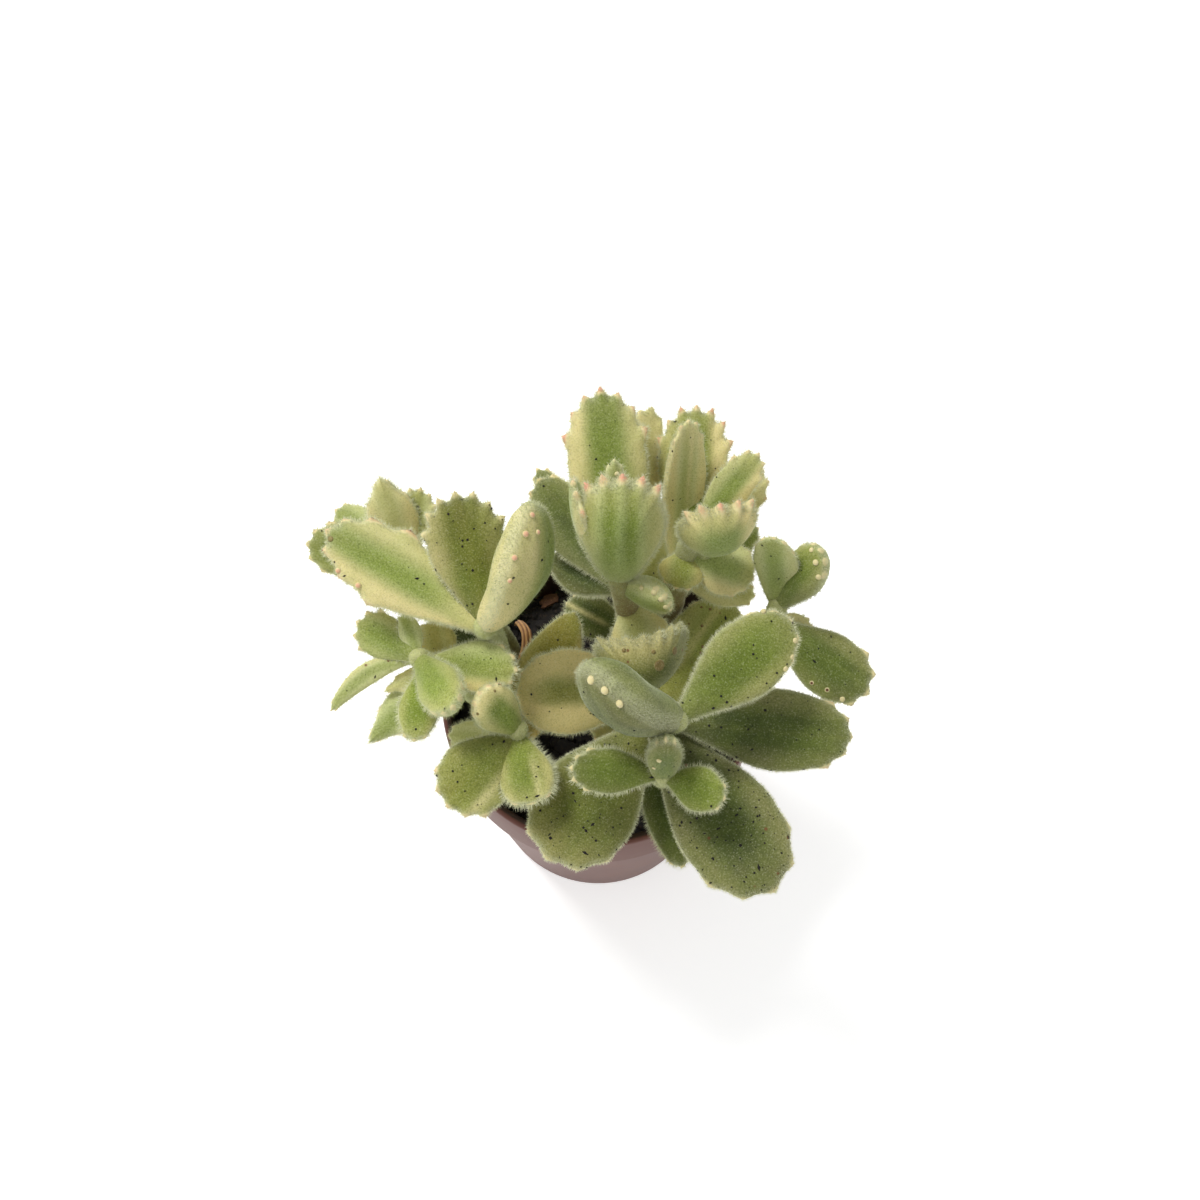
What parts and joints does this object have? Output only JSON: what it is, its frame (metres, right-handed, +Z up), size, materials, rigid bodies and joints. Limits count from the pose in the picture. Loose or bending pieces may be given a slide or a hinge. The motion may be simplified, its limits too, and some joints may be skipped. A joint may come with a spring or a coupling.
{
  "type": "bears paw succulent",
  "caption": "Bears paw succulent, Cotyledon tomentosa: thick velvety leaves with claw-toothed ends on fleshy stems, growing in a small round plastic nursery pot of dark soil.",
  "frame": {"origin": "middle of the pot's flat underside, on the surface it stands on", "axes": "+Z up the pot's axis, +X to the plant's right and +Y to its back, as it is seen from the front and above"},
  "size_m": [0.1115, 0.0911, 0.1192],
  "materials": {
    "pot": "satin moulded plastic, brownish pink",
    "soil": "dark, loose and matte",
    "leaf": "velvety: green under short white hairs, yellowish at the margins",
    "dry_leaf": "dry and brown, slightly glossy"
  },
  "bodies": {
    "root": {"pot": "pot", "soil": "soil", "front_stem": "leaf", "right_stem": "leaf", "left_stem": "leaf", "crown_stem": "leaf", "back_right_stem": "leaf", "back_left_stem": "leaf", "side_left_stem": "leaf", "lower_left_stem": "leaf", "centre_stem": "leaf", "dry_leaf": "dry_leaf"}
  },
  "joints": []
}
